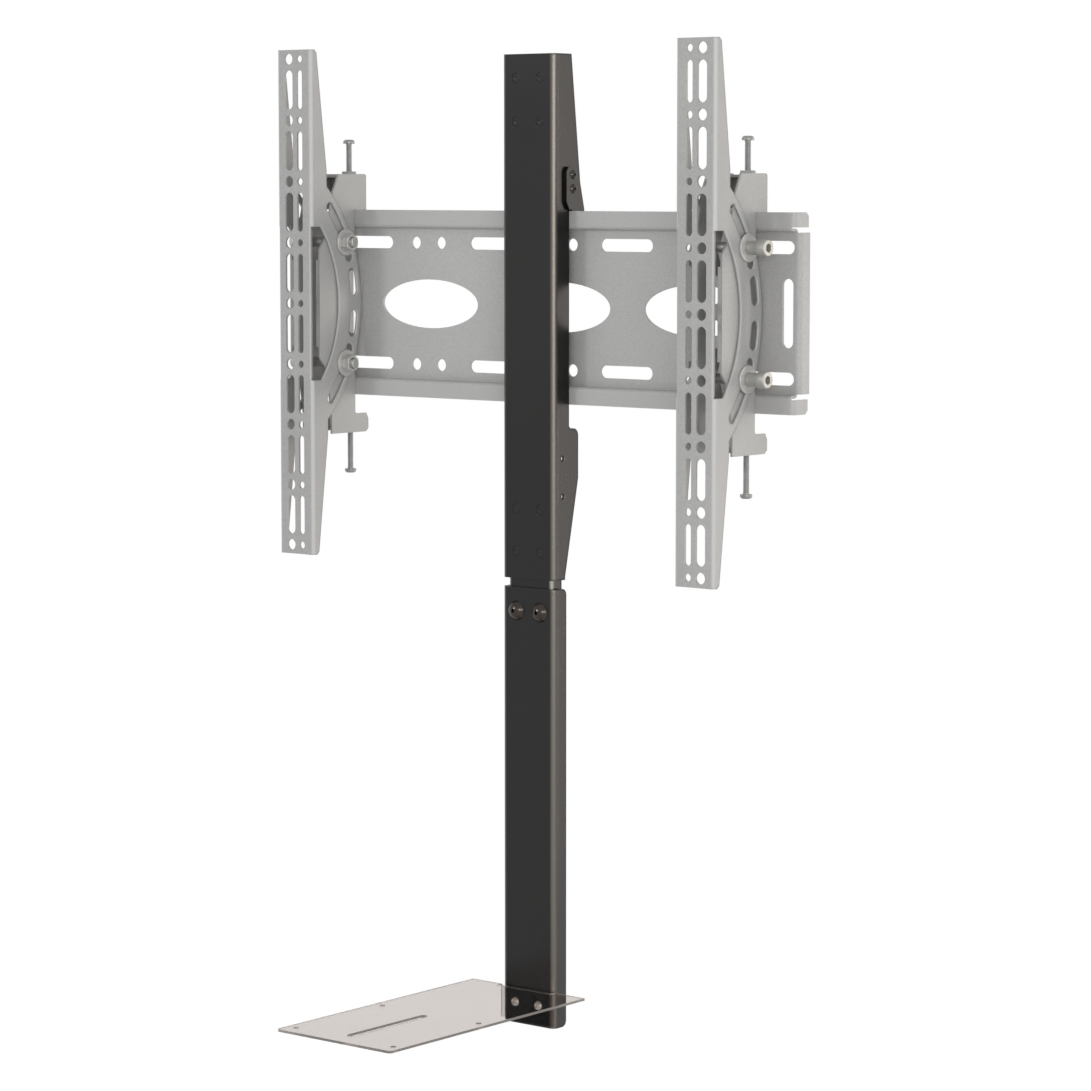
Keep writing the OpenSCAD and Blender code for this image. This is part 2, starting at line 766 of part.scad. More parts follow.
// Top view of the shelf, with rounded front corners
module shelf_plan() {
    x = shelf_w / 2;
    y = post_y - shelf_d;
    polygon(concat(
        [[x, post_y], [-x, post_y]],
        arc([-x + shelf_corner, y + shelf_corner], shelf_corner, 180, 270),
        arc([x - shelf_corner, y + shelf_corner], shelf_corner, 270, 360)));
}

// Shelf: a clear sheet with a tab turned down against the post
module shelf() {
    tab_z = shelf_z - shelf_tab_l;
    at_post() color(smoke, 0.5) difference() {
        union() {
            difference() {
                upright(shelf_z - shelf_t, shelf_z) shelf_plan();
                translate([-post_w / 2 - 0.5, post_y - 6, shelf_z - shelf_t - over])
                    cube([post_w + 1, 6 + over, shelf_t + 2 * over]);
            }
            sideways(-post_w / 2, post_w / 2) bent_sheet([
                [post_y - 8, shelf_z - shelf_t / 2],
                [post_y - shelf_t / 2, shelf_z - shelf_t / 2],
                [post_y - shelf_t / 2, tab_z]], shelf_t, 1);
        }
        for (x = [-shelf_pitch / 2, shelf_pitch / 2], y = [-shelf_pitch / 2, shelf_pitch / 2])
            translate([x, shelf_mid_y + y, shelf_z - shelf_t - over])
                cylinder(d = shelf_hole, h = shelf_t + 2 * over);
        translate([0, shelf_mid_y, shelf_z]) rotate([90, 0, 90])
            slot_y(shelf_slot_l, shelf_slot_w, shelf_t + over);
        for (x = [-screw_pair / 2, screw_pair / 2])
            translate([x, post_y, shelf_screw_z]) through_y(shelf_screw_d + 2 * running, shelf_t + over);
    }
}

// Screws that hold the shelf's tab to the post
module shelf_screws() {
    at_post() color(steel) for (x = [-screw_pair / 2, screw_pair / 2])
        translate([x, post_y - shelf_t, shelf_screw_z]) {
            rotate([-90, 0, 0]) translate([0, 0, -0.5]) cylinder(d = shelf_screw_d, h = shelf_screw_l + 0.5);
            rotate([90, 0, 0]) button_head(shelf_head_d, shelf_head_h, 2.5, 1.5);
        }
}

// Nuts of the shelf screws, inside the post
module shelf_nuts() {
    at_post() color(steel) for (x = [-screw_pair / 2, screw_pair / 2])
        translate([x, post_y + post_t, shelf_screw_z]) rotate([-90, 0, 0]) difference() {
            hex_bar(shelf_nut_af, shelf_nut_t);
            translate([0, 0, -over]) cylinder(d = shelf_screw_d + 2 * running, h = shelf_nut_t + 2 * over);
        }
}

wall_plate();
hook_bracket(-1);  // hook_bracket_left
hook_bracket(1);  // hook_bracket_right
weld_nuts(-1);  // weld_nuts_left
weld_nuts(1);  // weld_nuts_right
screen_arm(-1);  // screen_arm_left
screen_arm(1);  // screen_arm_right
tilt_washers(-1);  // tilt_washers_left
tilt_washers(1);  // tilt_washers_right
tilt_collars(-1);  // tilt_collars_left
tilt_collars(1);  // tilt_collars_right
tilt_nuts(-1);  // tilt_nuts_left
tilt_nuts(1);  // tilt_nuts_right
tilt_bolt(-1, 1);  // tilt_bolt_left_upper
tilt_bolt(-1, -1);  // tilt_bolt_left_lower
tilt_bolt(1, 1);  // tilt_bolt_right_upper
tilt_bolt(1, -1);  // tilt_bolt_right_lower
lock_screw(-1, 1);  // lock_screw_left_upper
lock_screw(-1, -1);  // lock_screw_left_lower
lock_screw(1, 1);  // lock_screw_right_upper
lock_screw(1, -1);  // lock_screw_right_lower
post_upper_channel();
post_joiner();
post_lower_channel();
post_hook(-1);  // post_hook_left
post_hook(1);  // post_hook_right
post_hook_screws();
post_hook_nuts();
post_studs();
joiner_nuts();
joint_screws();
joint_nuts();
shelf();
shelf_screws();
shelf_nuts();
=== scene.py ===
# %% [markdown]
# # A wall-hung screen mount with a drop post and a small shelf
# The mount is pressed sheet steel: a slotted wall plate, two hooked brackets, two tilting screen
# arms and a two-part post that carries a clear shelf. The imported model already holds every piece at
# its real size and place, so this lesson only dresses it: it gives each surface its finish, and it
# makes the screws, nuts and washers again with the threads, chamfers and sockets of real ones.

# %% Load the frame
import math

import bmesh
import bpy
import numpy as np
from mathutils import Matrix, Vector


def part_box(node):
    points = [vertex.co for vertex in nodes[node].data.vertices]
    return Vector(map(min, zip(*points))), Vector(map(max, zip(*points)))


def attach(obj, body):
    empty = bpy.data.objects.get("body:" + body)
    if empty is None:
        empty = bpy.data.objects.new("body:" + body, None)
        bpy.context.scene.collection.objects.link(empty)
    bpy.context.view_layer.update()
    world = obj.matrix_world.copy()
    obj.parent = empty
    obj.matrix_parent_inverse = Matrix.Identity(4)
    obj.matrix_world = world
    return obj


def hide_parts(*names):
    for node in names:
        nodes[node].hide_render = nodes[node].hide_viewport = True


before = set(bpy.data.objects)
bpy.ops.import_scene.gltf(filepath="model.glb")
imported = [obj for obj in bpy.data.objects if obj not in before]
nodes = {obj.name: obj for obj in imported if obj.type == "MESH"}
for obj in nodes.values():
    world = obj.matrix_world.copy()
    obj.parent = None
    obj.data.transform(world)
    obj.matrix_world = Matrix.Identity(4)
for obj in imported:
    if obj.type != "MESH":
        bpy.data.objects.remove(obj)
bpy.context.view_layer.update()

# %% [markdown]
# ## The camera
# The photograph is taken with a long lens from the right of the mount and a little above its
# middle. A long lens keeps upright edges nearly parallel, which is why the post looks straight.
# The place and the angles were found by matching thirty points on the plate, the arms, the post
# and the shelf. The scale comes from the arms' rows of holes, which have a known pitch.

# %% Put the camera where the photograph was taken
CAMERA_PLACE = Vector((1.8590, -2.3080, 0.0990))
CAMERA_TURN = 39.22
CAMERA_DOWN = 5.61
CAMERA_LENS = 121.83
SENSOR = 36.0

camera = bpy.data.objects.new("camera", bpy.data.cameras.new("camera"))
bpy.context.scene.collection.objects.link(camera)
camera.data.lens = CAMERA_LENS
camera.data.sensor_width = SENSOR
turn = Matrix.Rotation(math.radians(CAMERA_TURN), 4, "Z")
tip = Matrix.Rotation(math.radians(90 - CAMERA_DOWN), 4, "X")
camera.matrix_world = Matrix.Translation(CAMERA_PLACE) @ turn @ tip
bpy.context.scene.camera = camera
print(f"camera {CAMERA_PLACE.length:.2f} m from the wall plate, {CAMERA_LENS} mm lens")

# %% [markdown]
# ## Small helpers for every node tree
# Blender keeps colours as linear light, but people pick them as sRGB hex values, so one function
# turns one into the other. Node trees are long to write by hand, so a second function adds a node,
# sets its properties and fills its sockets with plain values or with links from other nodes. The
# rest are short names for the nodes that come back in every tree.

# %% Colour and node helpers
def linear(hex_colour):
    """An sRGB hex value such as 'a5a5a4' as the linear colour that a shader socket takes."""
    parts = [int(hex_colour[i:i + 2], 16) / 255 for i in (0, 2, 4)]
    return [p / 12.92 if p <= 0.04045 else ((p + 0.055) / 1.055) ** 2.4 for p in parts] + [1.0]


def add(tree, kind, inputs=None, **settings):
    """Adds one node. inputs maps a socket's name or number to a value or to another socket."""
    node = tree.nodes.new(kind)
    for name, value in settings.items():
        setattr(node, name, value)
    for socket, value in (inputs or {}).items():
        if isinstance(value, bpy.types.NodeSocket):
            tree.links.new(value, node.inputs[socket])
        else:
            node.inputs[socket].default_value = value
    return node


def new_material(name):
    """An empty node material, and its tree."""
    material = bpy.data.materials.new(name)
    material.use_nodes = True
    material.node_tree.nodes.clear()
    return material, material.node_tree


def part(tree, vector, axis):
    """One part of a vector socket."""
    return add(tree, "ShaderNodeSeparateXYZ", {0: vector}).outputs[axis]


def calculate(tree, operation, *values, **settings):
    """One Math node's result."""
    return add(tree, "ShaderNodeMath", dict(enumerate(values)), operation=operation,
               **settings).outputs[0]


def remap(tree, value, before, after=(0.0, 1.0)):
    """One Map Range node's result: the span before of the value becomes the span after."""
    ends = {"From Min": before[0], "From Max": before[1], "To Min": after[0], "To Max": after[1]}
    return add(tree, "ShaderNodeMapRange", {"Value": value, **ends}).outputs[0]


def mix_colours(tree, factor, first, second):
    """One colour Mix node's result."""
    return add(tree, "ShaderNodeMix", {"Factor": factor, 6: first, 7: second},
               data_type="RGBA").outputs[2]


def noise(tree, place, scale, detail):
    """One Noise node's grey value; scale is the number of its cells in a metre."""
    return add(tree, "ShaderNodeTexNoise", {"Vector": place, "Scale": scale,
               "Detail": detail}).outputs["Fac"]


print("helpers ready; mid grey a5a5a4 is", [round(c, 3) for c in linear("a5a5a4")[:3]])

# %% [markdown]
# ## Light, floor and background
# The photograph is lit very evenly: faces that look to the front and to the right are almost the
# same grey, and even the inside of the brackets is pale. So most of the light comes from a bright,
# even room. The lamps only add what gloss needs: the wide one beside the camera draws a bright line
# along every upright bend, a small one in front lights up the domed screws, and the tall one behind
# is what the black post's side mirrors. The background is white only for rays that look at it
# directly, in a mirror or through the shelf, so that it never lights the object by itself. The
# floor keeps some shadow under the mount, and fades to white around it.

# %% World
def white_where_seen(tree, lit, seen):
    """Mixes two shaders: lit for the light that falls on things, seen for the rays that look."""
    path = add(tree, "ShaderNodeLightPath").outputs
    either = calculate(tree, "MAXIMUM", path["Is Camera Ray"], path["Is Glossy Ray"])
    any_look = calculate(tree, "MAXIMUM", either, path["Is Transmission Ray"])
    return add(tree, "ShaderNodeMixShader", {0: any_look, 1: lit, 2: seen}).outputs[0]


ROOM_LIGHT = 0.8
world = bpy.data.worlds.new("studio")
world.use_nodes = True
bpy.context.scene.world = world
sky = world.node_tree
sky.nodes.clear()
room = add(sky, "ShaderNodeBackground", {"Color": linear("f2f3f5"), "Strength": ROOM_LIGHT})
white = add(sky, "ShaderNodeBackground", {"Color": linear("ffffff"), "Strength": 1.0})
sky_mix = white_where_seen(sky, room.outputs[0], white.outputs[0])
add(sky, "ShaderNodeOutputWorld", {"Surface": sky_mix})

bpy.context.scene.view_settings.view_transform = "Standard"
print("world made; room light", ROOM_LIGHT)

# %% Floor
FLOOR_HEIGHT = -1.15
FLOOR_HALF = 12.0
SHADOW_KEPT = 0.3
SHADOW_FULL, SHADOW_GONE = 0.7, 1.6

floor_mesh = bpy.data.meshes.new("floor")
corners = [(sx * FLOOR_HALF, sy * FLOOR_HALF, FLOOR_HEIGHT)
           for sx, sy in ((-1, -1), (1, -1), (1, 1), (-1, 1))]
floor_mesh.from_pydata(corners, [], [(0, 1, 2, 3)])
floor = bpy.data.objects.new("floor", floor_mesh)
bpy.context.scene.collection.objects.link(floor)
floor_paint, tree = new_material("pale_studio_floor")
matte = add(tree, "ShaderNodeBsdfDiffuse", {"Color": linear("f4f4f3")})
glow = add(tree, "ShaderNodeEmission", {"Color": linear("ffffff"), "Strength": 1.0})
spot = add(tree, "ShaderNodeTexCoord").outputs["Object"]
level = add(tree, "ShaderNodeVectorMath", {0: spot, 1: (1.0, 1.0, 0.0)}, operation="MULTIPLY")
away = add(tree, "ShaderNodeVectorMath", {0: level.outputs[0]}, operation="LENGTH")
whiter = remap(tree, away.outputs["Value"], (SHADOW_FULL, SHADOW_GONE), (1 - SHADOW_KEPT, 1.0))
soft = add(tree, "ShaderNodeMixShader", {0: whiter, 1: matte.outputs[0], 2: glow.outputs[0]})
floor_mix = white_where_seen(tree, matte.outputs[0], soft.outputs[0])
add(tree, "ShaderNodeOutputMaterial", {"Surface": floor_mix})
floor_mesh.materials.append(floor_paint)
print("floor at", FLOOR_HEIGHT, "m, below a screen hung at eye height")

# %% Lamps
def soft_lamp(name, place, target, size, power, tint):
    """A square lamp at place that faces target, both in metres."""
    lamp = bpy.data.objects.new(name, bpy.data.lights.new(name, "AREA"))
    lamp.data.shape = "RECTANGLE"
    lamp.data.size, lamp.data.size_y = size
    lamp.data.energy = power
    lamp.data.color = linear(tint)[:3]
    lamp.location = place
    lamp.visible_camera = False
    lamp.rotation_mode = "QUATERNION"
    lamp.rotation_quaternion = (Vector(target) - Vector(place)).to_track_quat("-Z", "Y")
    bpy.context.scene.collection.objects.link(lamp)
    return lamp


MIDDLE = (0.0, -0.05, -0.1)
lamps = [
    soft_lamp("beside_camera", (2.45, -2.15, 0.3), MIDDLE, (2.8, 1.0), 44, "fffcf8"),
    soft_lamp("front", (-1.3, -2.8, 0.85), MIDDLE, (0.45, 0.35), 18, "ffffff"),
    soft_lamp("right_back", (2.2, 2.0, 0.0), MIDDLE, (0.5, 2.4), 27, "fff3e9"),
]
print("lamps:", ", ".join(lamp.name for lamp in lamps))

# %% [markdown]
# ## Powder coat
# The sheet steel looks powder coated: dry paint is sprayed on as dust and baked until it flows. It
# comes out satin, with the fine swell of orange peel, a slightly thinner and therefore lighter
# coat along sharp edges, and faint clouds where the dust lay thicker. Orange peel has waves of
# about 2 mm and a few hundredths of a millimetre high. The punched edges are not quite sharp
# either, so a Bevel node rounds them for the light, and the angle between the rounded and the
# flat normal gives the mask for the thinner coat.
#
# The black post shows a bright line down its front corners, and that highlight is painted here. An
# upright bend is where the surface looks partly sideways and partly to the front, so the smaller
# of those two parts of the normal is a mask that finds it. There the coat takes a paler colour and
# turns metallic: a painted highlight that mirrors the lamps and the white room. On the arms, which
# are painted grey, the same mask paints a paler line as a highlight.
# The real bends are also softer than the imported ones, so near them a wider Bevel rounds the light.

# %% Find the upright bends that get a painted highlight
BEND_BAND = 0.0045
BEND_ROUND = 0.0024
BEND_SLANT = (0.08, 0.4)


def upright_bends(tree, place, node):
    """For a packed channel: 1 beside its upright corners, 1 on their painted-highlight bends, a
    softer normal.
    """
    low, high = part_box(node)
    reach = (high.x - low.x) / 2 - BEND_BAND
    offset = calculate(tree, "SUBTRACT", part(tree, place, "X"), (high.x + low.x) / 2)
    beside = calculate(tree, "GREATER_THAN", calculate(tree, "ABSOLUTE", offset), reach)
    soft = add(tree, "ShaderNodeBevel", {"Radius": BEND_ROUND}, samples=8).outputs[0]
    sideways = calculate(tree, "ABSOLUTE", part(tree, soft, "X"))
    forwards = calculate(tree, "MULTIPLY", part(tree, soft, "Y"), -1.0)
    slant = remap(tree, calculate(tree, "MINIMUM", sideways, forwards), BEND_SLANT)
    return beside, calculate(tree, "MULTIPLY", slant, beside), soft


print("bends are softened over", BEND_ROUND / 0.001, "mm")

# %% Powder coat material
CLOUD_SCALE, GRAIN_SCALE, PEEL_SCALE = 9.0, 900.0, 480.0
NOISE_SPAN, CLOUD_SPAN = (0.3, 0.7), (0.35, 0.75)
DUST_SPAN = (0.9, 1.08)
THIN_SPAN, THIN_MIX = (0.985, 0.8), 0.55
COAT_GLOSSIER, COAT_DULLER = 0.04, 0.05
EDGE_ROUND = 0.0005
PEEL_HEIGHT, PEEL_STRENGTH = 0.00004, 0.5
COAT_IOR = 1.5
BEND_ROUGHNESS = 0.34


def powder_coat(name, body, cloud, edge, roughness, gleam, channel=None, bend_highlight=None, metallic_highlight=False):
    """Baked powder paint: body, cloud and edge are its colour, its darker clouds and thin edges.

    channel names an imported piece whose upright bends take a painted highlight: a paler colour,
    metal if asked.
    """
    material, tree = new_material(name)
    place = add(tree, "ShaderNodeTexCoord").outputs["Object"]
    clouds = noise(tree, place, CLOUD_SCALE, 3.0)
    grain = noise(tree, place, GRAIN_SCALE, 2.0)
    peel = noise(tree, place, PEEL_SCALE, 1.0)
    rounded = add(tree, "ShaderNodeBevel", {"Radius": EDGE_ROUND}, samples=6).outputs[0]
    flat = add(tree, "ShaderNodeNewGeometry").outputs["Normal"]
    facing = add(tree, "ShaderNodeVectorMath", {0: rounded, 1: flat},
                 operation="DOT_PRODUCT").outputs["Value"]
    thin = remap(tree, facing, THIN_SPAN, (0.0, THIN_MIX))
    tone = mix_colours(tree, remap(tree, clouds, CLOUD_SPAN), linear(body), linear(cloud))
    dusty = remap(tree, grain, NOISE_SPAN, DUST_SPAN)
    dusted = add(tree, "ShaderNodeVectorMath", {0: tone, "Scale": dusty},
                 operation="SCALE").outputs[0]
    colour = mix_colours(tree, thin, dusted, linear(edge))
    gloss = remap(tree, clouds, NOISE_SPAN, (roughness - COAT_GLOSSIER, roughness + COAT_DULLER))
    metal = {}
    # Painted highlight: the upright bends take a paler colour and, when asked, turn metallic.
    if channel:
        beside, highlight_strip, soft = upright_bends(tree, place, channel)
        rounded = add(tree, "ShaderNodeMix", {0: beside, 4: rounded, 5: soft},
                      data_type="VECTOR").outputs[1]
        colour = mix_colours(tree, highlight_strip, colour, linear(bend_highlight))
        gloss = add(tree, "ShaderNodeMix", {0: highlight_strip, 2: gloss, 3: BEND_ROUGHNESS}).outputs[0]
        if metallic_highlight:
            metal = {"Metallic": highlight_strip}
    swell = add(tree, "ShaderNodeBump", {"Height": peel, "Strength": PEEL_STRENGTH,
                "Distance": PEEL_HEIGHT, "Normal": rounded})
    shader = add(tree, "ShaderNodeBsdfPrincipled", {"Base Color": colour, "Roughness": gloss,
                 "Normal": swell.outputs[0], "IOR": COAT_IOR, "Specular IOR Level": gleam, **metal})
    add(tree, "ShaderNodeOutputMaterial", {"Surface": shader.outputs[0]})
    return material


plate_paint = powder_coat("light_grey_powder_coat", "a3a3a2", "9c9c9b", "bebebd", 0.4, 0.3)
bracket_paint = powder_coat("mid_grey_powder_coat", "9c9c9b", "959594", "b8b8b7", 0.4, 0.3)
ARM_COAT = ("9b9b9a", "949493", "bebebd", 0.36, 0.3)
# The arms' paler bend colour is a painted highlight along their upright bends.
arm_paints = {side: powder_coat(f"pale_grey_powder_coat_{side}", *ARM_COAT,
                                channel=f"screen_arm_{side}", bend_highlight="b0b0af")
              for side in ("left", "right")}
POST_COAT = ("0d0c0b", "0a0a09", "242220", 0.3, 0.32)
# The post's and the joiner's paler, metallic bend colours are painted highlights.
post_paint = powder_coat("black_powder_coat", *POST_COAT, channel="post_upper_channel",
                         bend_highlight="67635e", metallic_highlight=True)
joiner_paint = powder_coat("black_powder_coat_joiner", *POST_COAT, channel="post_joiner",
                           bend_highlight="8a8680", metallic_highlight=True)
fitting_paint = powder_coat("black_powder_coat_fittings", *POST_COAT)
print("powder coats:", plate_paint.name, bracket_paint.name, post_paint.name)

# %% [markdown]
# ## Bare and plated metal
# The screws are zinc plated: a thin bright coat over turned steel, with a soft grey sheen and a
# faint mottle. Passivated zinc is not a perfect metal to the eye: its fine crystals also scatter
# light like paint, so its metallic value lies below 1. The two large screws of the post's joint
# are dark chrome, which is much smoother, and the small ones on the post's hooks are blackened.
# Metals keep the shader's own IOR, because colour, roughness and scatter decide how they look.

# %% Metal materials
MARK_SCALE, MARK_STRENGTH = 2600.0, 0.4
METAL_GLOSSIER, METAL_DULLER = 0.05, 0.08
FINE_ROUND = 0.0002


def plated_metal(name, body, dull, roughness, mottle_scale, grain_depth, metallic=1.0):
    """Plated or blackened metal: mottled between two colours, over fine turning marks."""
    material, tree = new_material(name)
    place = add(tree, "ShaderNodeTexCoord").outputs["Object"]
    mottle = noise(tree, place, mottle_scale, 4.0)
    marks = noise(tree, place, MARK_SCALE, 2.0)
    tone = mix_colours(tree, mottle, linear(body), linear(dull))
    sheen = remap(tree, mottle, NOISE_SPAN, (roughness - METAL_GLOSSIER, roughness + METAL_DULLER))
    rounded = add(tree, "ShaderNodeBevel", {"Radius": FINE_ROUND}, samples=4)
    fine = add(tree, "ShaderNodeBump", {"Height": marks, "Strength": MARK_STRENGTH,
               "Distance": grain_depth, "Normal": rounded.outputs[0]})
    shader = add(tree, "ShaderNodeBsdfPrincipled", {"Base Color": tone, "Metallic": metallic,
                 "Roughness": sheen, "Normal": fine.outputs[0]})
    add(tree, "ShaderNodeOutputMaterial", {"Surface": shader.outputs[0]})
    return material


bright_zinc = plated_metal("bright_zinc_plate", "bab9b4", "a3a29d", 0.52, 220.0, 0.00002, 0.8)
grey_zinc = plated_metal("grey_zinc_plate", "c0bfbd", "b0afad", 0.42, 180.0, 0.00003, 0.6)
dull_zinc = plated_metal("dull_zinc_plate", "979796", "868685", 0.45, 180.0, 0.00003, 0.7)
nickel = plated_metal("bright_nickel_plate", "eceae7", "d8d5d2", 0.2, 200.0, 0.00001)
dark_chrome = plated_metal("dark_chrome", "48433f", "393532", 0.2, 120.0, 0.00001)
black_steel = plated_metal("blackened_steel", "4b4744", "3a3734", 0.16, 260.0, 0.00002)
print("metals:", bright_zinc.name, grey_zinc.name, dull_zinc.name, dark_chrome.name)

# %% [markdown]
# ## Clear sheet
# The shelf is a clear sheet, taken here as acrylic 2 mm thick, with a faint warm smoke tint. Light
# passes it almost unbroken, so the post can be seen through it. Light that has passed the sheet
# twice is tinted twice, so the base colour is lighter than what is seen. Acrylic's IOR is 1.49, but
# the camera looks along the sheet, where that mirrors half of the white room and hides the post,
# while the photograph shows the post clearly. So the IOR is matched to the photograph, at 1.2.
#
# The sawn edges and the hole walls are frosted: they scatter light, and show as grey lines. They
# are the faces that look neither up nor down. The photograph shows no grey line round the tab that
# lies against the post, so there the rim is left clear, as if it were polished. Rays that only ask
# whether a lamp is hidden pass the sheet almost freely, as they do in reality, so the screws
# behind it stay lit.

# %% Clear sheet material
SHEET_DEPTH = 0.003
SHEET_IOR = 1.2
SMEAR_SCALE = 14.0
HAZE_SPAN = (0.004, 0.015)
UPRIGHT_BELOW = 0.5
SAWN_ROUGHNESS, SAWN_PASS = 0.5, 0.5
SHADOW_PASS = 0.85

smoke_sheet, tree = new_material("smoke_tinted_acrylic")
spot = add(tree, "ShaderNodeTexCoord").outputs
smear = noise(tree, spot["Object"], SMEAR_SCALE, 4.0)
lean = calculate(tree, "ABSOLUTE", part(tree, spot["Normal"], "Z"))
upright = calculate(tree, "LESS_THAN", lean, UPRIGHT_BELOW)
tab_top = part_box("shelf")[1].z - SHEET_DEPTH
on_tab = calculate(tree, "LESS_THAN", part(tree, spot["Object"], "Z"), tab_top)
sawn = calculate(tree, "SUBTRACT", upright, on_tab, use_clamp=True)
haze = remap(tree, smear, NOISE_SPAN, HAZE_SPAN)
rough = add(tree, "ShaderNodeMix", {0: sawn, 2: haze, 3: SAWN_ROUGHNESS}).outputs[0]
tint = mix_colours(tree, smear, linear("cac1bd"), linear("c4bbb6"))
colour = mix_colours(tree, sawn, tint, linear("9a9592"))
clear = remap(tree, sawn, (0.0, 1.0), (1.0, SAWN_PASS))
shadow = add(tree, "ShaderNodeLightPath").outputs["Is Shadow Ray"]
solid = remap(tree, shadow, (0.0, 1.0), (1.0, 1 - SHADOW_PASS))
shader = add(tree, "ShaderNodeBsdfPrincipled", {"Base Color": colour, "IOR": SHEET_IOR,
             "Roughness": rough, "Transmission Weight": clear, "Alpha": solid})
add(tree, "ShaderNodeOutputMaterial", {"Surface": shader.outputs[0]})
print("acrylic:", smoke_sheet.name)

# %% [markdown]
# ## Dress the sheet metal
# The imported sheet-metal pieces already have their real bends, slots and holes, so they stay as
# they are and only take their finish.

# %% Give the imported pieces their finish
FINISHES = {
    "wall_plate": plate_paint,
    "hook_bracket": bracket_paint,
    "screen_arm_left": arm_paints["left"],
    "screen_arm_right": arm_paints["right"],
    "post_upper_channel": post_paint,
    "post_lower_channel": post_paint,
    "post_joiner": joiner_paint,
    "post_hook_left": fitting_paint,
    "post_hook_right": fitting_paint,
    "shelf": smoke_sheet,
}


def finish_of(name):
    """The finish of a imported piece: the longest key that its name starts with."""
    keys = [key for key in FINISHES if name.startswith(key)]
    return FINISHES[max(keys, key=len)] if keys else grey_zinc


for name, piece in nodes.items():
    piece.data.materials.clear()
    piece.data.materials.append(finish_of(name))
print("finished", len(nodes), "packed pieces")

# %% [markdown]
# ## Where the fasteners are
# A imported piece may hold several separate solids, such as the four washers of an arm. To make
# each one again in the same place, its mesh is split into connected islands: corners at the same
# point are one, and corners joined by a face belong together.

# %% Find the separate solids of a piece
STEPS_PER_METRE = 1e6


def solids(name):
    """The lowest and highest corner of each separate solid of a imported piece, in metres."""
    mesh = nodes[name].data
    places = np.empty(len(mesh.vertices) * 3)
    mesh.vertices.foreach_get("co", places)
    places = places.reshape(-1, 3)
    steps = np.round(places * STEPS_PER_METRE).astype(int)
    ids = np.unique(steps, axis=0, return_inverse=True)[1].ravel()
    leader = list(range(ids.max() + 1))

    def top(i):
        while leader[i] != i:
            leader[i] = leader[leader[i]]
            i = leader[i]
        return i

    for face in mesh.polygons:
        first = top(ids[face.vertices[0]])
        for corner in face.vertices[1:]:
            leader[top(ids[corner])] = first
    groups = np.array([top(i) for i in ids])
    return [(Vector(places[groups == g].min(0)), Vector(places[groups == g].max(0)))
            for g in np.unique(groups)]


print("solids in the left washers:", len(solids("tilt_washers_left")))

# %% [markdown]
# ## Turned shapes
# A screw, nut or washer is a stack of rings round one axis. Each ring is a rule that gives a
# radius and a height for every angle, so a round rim and a hexagonal socket are made the same
# way: the hexagon's radius only grows towards its corners. Rings are joined in order, and a ring
# of no radius closes to a point. A nut's chamfer is a cone that cuts the hexagon's corners, so
# the height of that ring falls where the radius grows, which draws the curved edge of real nuts.

# %% Rings and turned shapes
MM = 0.001
SEGMENTS, SCREW_SEGMENTS = 48, 24
NO_RADIUS = 1e-9
SHARP_ANGLE = 28
CHAMFER_START = 0.96
CHAMFER_SLOPE = math.tan(math.radians(30))


def circle(radius, height):
    """A round ring. Sizes are in millimetres."""
    return lambda angle: (radius, height)


def hex_radius(flats, angle):
    """Distance from the middle to a hexagon's edge, for its width over the flats."""
    side = math.radians(60)
    return flats / 2 / math.cos((angle % side) - side / 2)


def hexagon(flats, height):
    """A hexagonal ring."""
    return lambda angle: (hex_radius(flats, angle), height)


def cut_hexagon(flats, height, way):
    """A hexagonal ring whose corners a 30 degree cone cuts down (way 1) or up (way -1)."""
    start = flats / 2 * CHAMFER_START

    def ring(angle):
        radius = hex_radius(flats, angle)
        return radius, height - way * max(0.0, radius - start) * CHAMFER_SLOPE
    return ring


def turned(name, rings, loop=False, segments=SEGMENTS):
    """A mesh object of rings joined in order; loop joins the last to the first, as on a washer."""
    mesh = bmesh.new()
    rows = []
    for ring in rings:
        points = [(2 * math.pi * i / segments, ring(2 * math.pi * i / segments))
                  for i in range(segments)]
        if max(radius for _, (radius, _) in points) < NO_RADIUS:
            rows.append([mesh.verts.new((0, 0, points[0][1][1] * MM))])
            continue
        rows.append([mesh.verts.new((radius * MM * math.cos(a), radius * MM * math.sin(a), h * MM))
                     for a, (radius, h) in points])
    pairs = list(zip(rows, rows[1:])) + ([(rows[-1], rows[0])] if loop else [])
    for low, high in pairs:
        for i in range(segments):
            j = (i + 1) % segments
            corners = [low[i % len(low)], low[j % len(low)],
                       high[j % len(high)], high[i % len(high)]]
            mesh.faces.new(dict.fromkeys(corners))
    bmesh.ops.recalc_face_normals(mesh, faces=mesh.faces)
    data = bpy.data.meshes.new(name)
    mesh.to_mesh(data)
    mesh.free()
    data.polygons.foreach_set("use_smooth", [True] * len(data.polygons))
    data.set_sharp_from_angle(angle=math.radians(SHARP_ANGLE))
    return bpy.data.objects.new(name, data)


def arc_rings(centre_r, centre_h, radius, start, end, steps):
    """Round rings along an arc of a lathe profile, angles in degrees from the radial direction."""
    angles = [math.radians(start + (end - start) * i / steps) for i in range(steps + 1)]
    return [circle(centre_r + radius * math.cos(a), centre_h + radius * math.sin(a))
            for a in angles]


print("a hexagon over 13 mm flats is", round(2 * hex_radius(13, 0), 2), "mm over its corners")

# %% [markdown]
# ## One tree that threads and places fasteners
# Geometry Nodes repeat a fastener at every point of a small mesh that has one point for each
# place. The tree first cuts the thread: it pulls the shank's skin in towards the axis by a depth
# that rises and falls once for each pitch of height and once for each turn round the axis, which
# is just what a helix is. Then it puts the threaded fastener on the points, turned as each
# point's own attribute says, makes the copies real and gives them their finish.

# %% Thread and place fasteners
FADES_PER_METRE = 1000.0
SKIN_DEPTH = 0.00005


